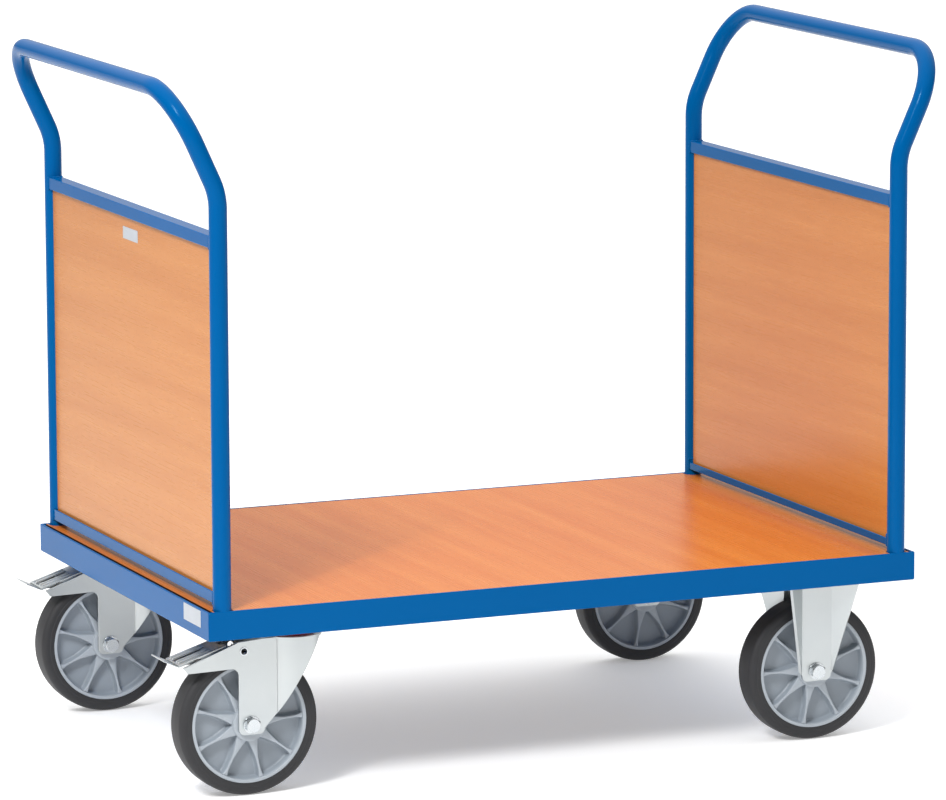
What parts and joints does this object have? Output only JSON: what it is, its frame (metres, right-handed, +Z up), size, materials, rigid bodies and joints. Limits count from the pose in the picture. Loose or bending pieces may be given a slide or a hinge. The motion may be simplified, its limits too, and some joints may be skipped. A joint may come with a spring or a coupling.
{
  "type": "flatbed platform truck",
  "caption": "Flat platform truck on swivel and fixed casters, with a panelled wall and a bent tube push handle at each end.",
  "frame": {"origin": "on the floor, below the middle of the truck", "axes": "+X along the deck from the swivel casters to the fixed casters, +Y across the deck to the truck's left, +Z up"},
  "size_m": [1.16, 0.7, 0.9785],
  "materials": {
    "blue_paint": "gloss brilliant blue powder coat",
    "beech_board": "satin beech decor on wood board",
    "screw_steel": "bright zinc plate",
    "black_plastic": "matt",
    "label": "blank white film",
    "zinc": "bright zinc plate",
    "red_seal": "semi-gloss",
    "ball_steel": "polished bearing steel",
    "spring_steel": "blued spring steel",
    "brake_rubber": "matt",
    "tyre": "moulded solid rubber",
    "wheel_core": "grey polyamide, satin"
  },
  "bodies": {
    "truck_frame": {"side_rail_right": "blue_paint", "side_rail_left": "blue_paint", "end_rail_swivel": "blue_paint", "end_rail_fixed": "blue_paint", "caster_beam_swivel": "blue_paint", "caster_beam_fixed": "blue_paint", "centre_beam": "blue_paint", "deck_board": "beech_board", "deck_screws": "screw_steel", "end_tube_swivel": "blue_paint", "end_tube_fixed": "blue_paint", "top_channel_swivel": "blue_paint", "top_channel_fixed": "blue_paint", "bottom_channel_swivel": "blue_paint", "bottom_channel_fixed": "blue_paint", "end_panel_swivel": "beech_board", "end_panel_fixed": "beech_board", "panel_strips": "black_plastic", "blank_labels": "label", "swivel_top_plates": "zinc", "kingpins": "screw_steel", "fixed_fork_right": "zinc", "fixed_fork_left": "zinc", "caster_bolts": "screw_steel", "caster_nuts": "screw_steel", "fixed_axle_bolts": "screw_steel", "fixed_axle_tubes": "screw_steel"},
    "swivel_right": {"swivel_fork_right": "zinc", "seal_ring_right": "red_seal", "race_balls_right": "ball_steel", "axle_tube_right": "screw_steel", "axle_bolt_right": "screw_steel", "leaf_spring_right": "spring_steel", "pedal_rivets_right": "screw_steel"},
    "pedal_right": {"brake_pedal_right": "zinc", "release_flap_right": "zinc", "brake_shoe_right": "brake_rubber"},
    "swivel_wheel_right": {"tyre_swivel_right": "tyre", "core_swivel_right": "wheel_core", "bearings_swivel_right": "ball_steel"},
    "fixed_wheel_right": {"tyre_fixed_right": "tyre", "core_fixed_right": "wheel_core", "bearings_fixed_right": "ball_steel"},
    "swivel_left": {"swivel_fork_left": "zinc", "seal_ring_left": "red_seal", "race_balls_left": "ball_steel", "axle_tube_left": "screw_steel", "axle_bolt_left": "screw_steel", "leaf_spring_left": "spring_steel", "pedal_rivets_left": "screw_steel"},
    "pedal_left": {"brake_pedal_left": "zinc", "release_flap_left": "zinc", "brake_shoe_left": "brake_rubber"},
    "swivel_wheel_left": {"tyre_swivel_left": "tyre", "core_swivel_left": "wheel_core", "bearings_swivel_left": "ball_steel"},
    "fixed_wheel_left": {"tyre_fixed_left": "tyre", "core_fixed_left": "wheel_core", "bearings_fixed_left": "ball_steel"}
  },
  "joints": [
    {"name": "swivel_right_turn", "type": "hinge", "parent": "truck_frame", "child": "swivel_right", "pos_m": [-0.388, -0.2866, 0.218], "axis": [0, 0, 1], "continuous": true},
    {"name": "swivel_wheel_right_roll", "type": "hinge", "parent": "swivel_right", "child": "swivel_wheel_right", "pos_m": [-0.4555, -0.2866, 0.1], "axis": [0, 1, 0], "continuous": true},
    {"name": "pedal_right_press", "type": "hinge", "parent": "swivel_right", "child": "pedal_right", "pos_m": [-0.4655, -0.2866, 0.2017], "axis": [0, -1, 0], "range_deg": [0, 6.5]},
    {"name": "fixed_wheel_right_roll", "type": "hinge", "parent": "truck_frame", "child": "fixed_wheel_right", "pos_m": [0.392, -0.2866, 0.1], "axis": [0, 1, 0], "continuous": true},
    {"name": "swivel_left_turn", "type": "hinge", "parent": "truck_frame", "child": "swivel_left", "pos_m": [-0.388, 0.2866, 0.218], "axis": [0, 0, 1], "continuous": true},
    {"name": "swivel_wheel_left_roll", "type": "hinge", "parent": "swivel_left", "child": "swivel_wheel_left", "pos_m": [-0.4555, 0.2866, 0.1], "axis": [0, 1, 0], "continuous": true},
    {"name": "pedal_left_press", "type": "hinge", "parent": "swivel_left", "child": "pedal_left", "pos_m": [-0.4655, 0.2866, 0.2017], "axis": [0, -1, 0], "range_deg": [0, 6.5]},
    {"name": "fixed_wheel_left_roll", "type": "hinge", "parent": "truck_frame", "child": "fixed_wheel_left", "pos_m": [0.392, 0.2866, 0.1], "axis": [0, 1, 0], "continuous": true}
  ]
}
